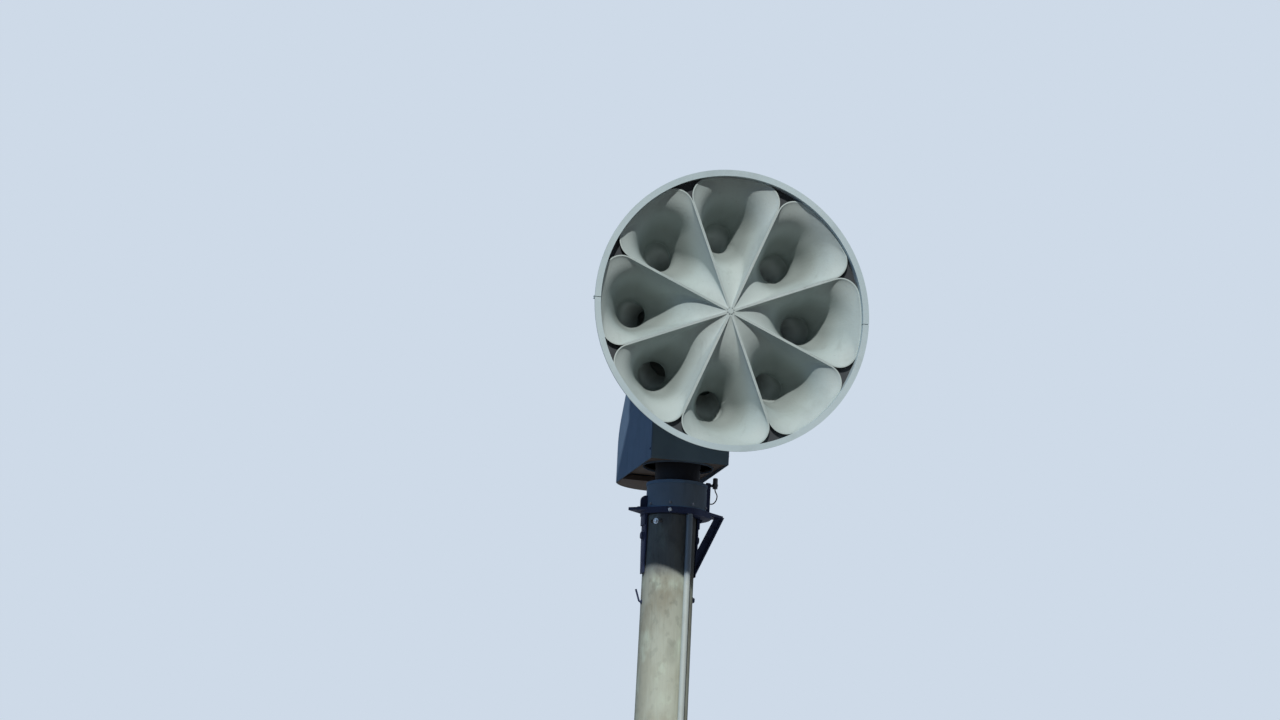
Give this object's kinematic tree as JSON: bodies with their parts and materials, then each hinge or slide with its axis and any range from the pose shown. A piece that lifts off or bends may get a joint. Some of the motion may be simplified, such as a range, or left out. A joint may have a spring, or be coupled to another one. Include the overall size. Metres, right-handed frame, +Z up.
{
  "type": "civil defense siren tower",
  "caption": "Rotating outdoor warning siren with a round petal horn, set on a tall wood pole with its mounting iron, conduit and control cabinet.",
  "frame": {"origin": "centre of the pole's butt face at ground level", "axes": "+Z up along the pole, the horn faces -Y at rest, +X to the right of the horn seen from the front"},
  "size_m": [1.2, 1.1799, 13.0749],
  "materials": {
    "horn_paint": "weathered pale grey paint, satin",
    "housing_paint": "weathered slate paint, satin",
    "pole_wood": "weathered treated timber",
    "mount_steel": "weathered galvanized and painted steel",
    "conduit_plastic": "matte",
    "conduit_metal": "dull galvanized",
    "cable_rubber": "matte",
    "gland_plastic": "matte",
    "cabinet_paint": "satin grey paint"
  },
  "bodies": {
    "tower": {"base_plate": "mount_steel", "brace_right": "mount_steel", "cabinet_body": "cabinet_paint", "cabinet_door": "cabinet_paint", "cabinet_hood": "cabinet_paint", "cable_gland": "gland_plastic", "collar_drum": "housing_paint", "conduit_coupling": "conduit_metal", "conduit_lower": "conduit_plastic", "conduit_straps": "conduit_metal", "conduit_upper": "conduit_plastic", "drip_loop": "cable_rubber", "gusset_left": "mount_steel", "gusset_right": "mount_steel", "hook_bolt": "mount_steel", "pole": "pole_wood", "rail_bolts": "mount_steel", "rail_lower": "mount_steel", "rail_upper": "mount_steel", "side_strap_left": "mount_steel", "side_strap_right": "mount_steel", "strap_bolt": "mount_steel", "through_bolt": "mount_steel"},
    "siren_head": {"bottom_pan": "housing_paint", "housing_front": "housing_paint", "housing_hood": "housing_paint", "housing_left": "housing_paint", "housing_right": "housing_paint", "hub_boss": "horn_paint", "petal_horn_1": "horn_paint", "petal_horn_2": "horn_paint", "petal_horn_3": "horn_paint", "petal_horn_4": "horn_paint", "petal_horn_5": "horn_paint", "petal_horn_6": "horn_paint", "petal_horn_7": "horn_paint", "petal_horn_8": "horn_paint", "rear_floor": "housing_paint", "rim_lower": "horn_paint", "rim_upper": "horn_paint", "stator_drum": "horn_paint", "turntable": "housing_paint", "web_pan": "housing_paint"}
  },
  "joints": [
    {"name": "siren_rotation", "type": "hinge", "parent": "tower", "child": "siren_head", "pos_m": [0.022, 0, 11.848], "axis": [0, 0, 1], "continuous": true}
  ]
}
